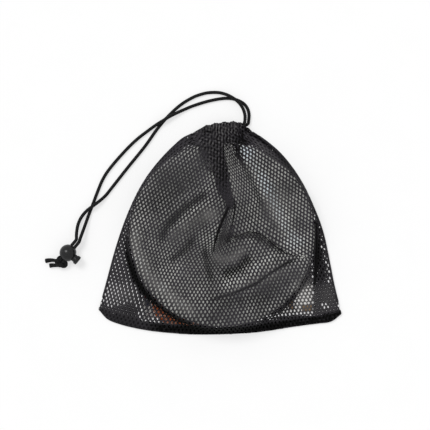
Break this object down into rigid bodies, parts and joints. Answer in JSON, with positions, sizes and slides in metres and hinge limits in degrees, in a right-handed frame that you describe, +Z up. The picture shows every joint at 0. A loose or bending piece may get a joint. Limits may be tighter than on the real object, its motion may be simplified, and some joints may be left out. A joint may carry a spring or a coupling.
{
  "type": "packed roundnet set",
  "caption": "Pop-up roundnet set folded to a flat disc in a mesh drawstring bag, with a draw cord, a ball cord lock and a knot.",
  "frame": {"origin": "on the floor, under the middle of the bag with its contents, the free cord left out", "axes": "+X across the bag towards its right-hand bottom corner, +Y along the bag towards its drawn neck, +Z up from the face that it lies on"},
  "size_m": [0.2965, 0.2438, 0.0272],
  "materials": {
    "mesh_fabric": "black knitted polyester mesh with open hexagonal holes",
    "draw_cord": "black braided polyester cord",
    "lock_plastic": "moulded dark grey plastic, slightly worn gloss",
    "spring_steel": "drawn steel",
    "hoop_tape": "black woven binding",
    "grey_nylon": "thin grey nylon, wrinkled, with a soft sheen",
    "net_cord": "black knotless netting, folded",
    "ball_rubber": "orange vinyl, pressed flat",
    "valve_rubber": "black rubber plug",
    "coated_paper": "white coated paper with plain printed colour blocks"
  },
  "bodies": {
    "root": {"bag_front_panel": "mesh_fabric", "bag_back_panel": "mesh_fabric", "bag_left_seam": "mesh_fabric", "bag_right_seam": "mesh_fabric", "bag_bottom_hem": "mesh_fabric", "neck_channel": "mesh_fabric", "channel_drawcord": "draw_cord", "drawcord_run_1": "draw_cord", "drawcord_run_2": "draw_cord", "drawcord_knot": "draw_cord", "drawcord_tail_a": "draw_cord", "drawcord_tail_b": "draw_cord", "upper_hoop_sleeve": "hoop_tape", "upper_hoop_wire": "spring_steel", "upper_hoop_ferrule": "spring_steel", "lower_hoop_sleeve": "hoop_tape", "lower_hoop_wire": "spring_steel", "lower_hoop_ferrule": "spring_steel", "skirt_top_fold": "grey_nylon", "skirt_bottom_fold": "grey_nylon", "rebound_net": "net_cord", "ball": "ball_rubber", "ball_valve": "valve_rubber", "leaflet": "coated_paper"},
    "lock": {"cord_lock_body": "lock_plastic", "cord_lock_spring": "spring_steel"},
    "plunger": {"cord_lock_plunger": "lock_plastic"}
  },
  "joints": [
    {"name": "lock_slide", "type": "slide", "parent": "root", "child": "lock", "axis": [0.622, 0.783, 0], "range_m": [0, 0.0045]},
    {"name": "plunger_press", "type": "slide", "parent": "lock", "child": "plunger", "axis": [-0.783, 0.622, 0], "range_m": [0, 0.0018], "stiffness_N_per_m": 1500, "springref_m": -0.001, "deforming": ["cord_lock_spring"]}
  ]
}
